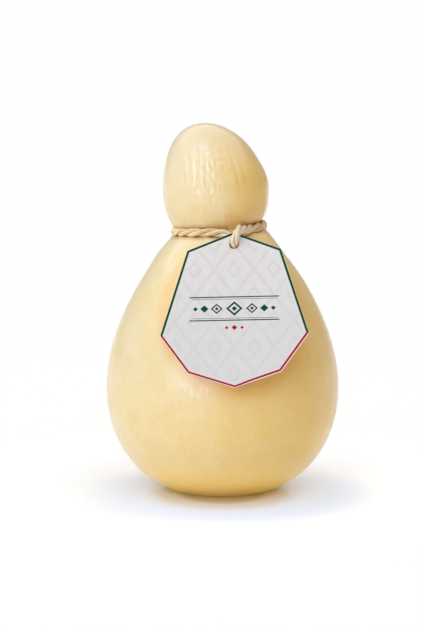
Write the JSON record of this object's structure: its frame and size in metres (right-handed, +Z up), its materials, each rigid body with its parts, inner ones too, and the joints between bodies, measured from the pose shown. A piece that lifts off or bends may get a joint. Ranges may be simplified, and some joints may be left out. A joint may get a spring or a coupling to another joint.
{
  "type": "caciocavallo cheese",
  "caption": "Pear-shaped stretched-curd cheese with a small tied-off head, a twisted cord round its neck and an eight-sided paper tag strung on the cord.",
  "frame": {"origin": "centre of the flat spot that the cheese stands on", "axes": "+Z up from the flat spot to the crown of the head; -Y towards the tag, which is the front; +X to the right seen from the front"},
  "size_m": [0.1454, 0.1539, 0.2278],
  "materials": {
    "cheese_skin": "satin, waxy pale yellow rind of a young stretched-curd cheese",
    "straw_cord": "matt twisted natural fibre, straw to off-white",
    "tag_card": "smooth matt card, pale cool grey, with a thin printed border in two colours"
  },
  "bodies": {
    "root": {"cheese": "cheese_skin", "cord": "straw_cord", "tag": "tag_card"}
  },
  "joints": []
}
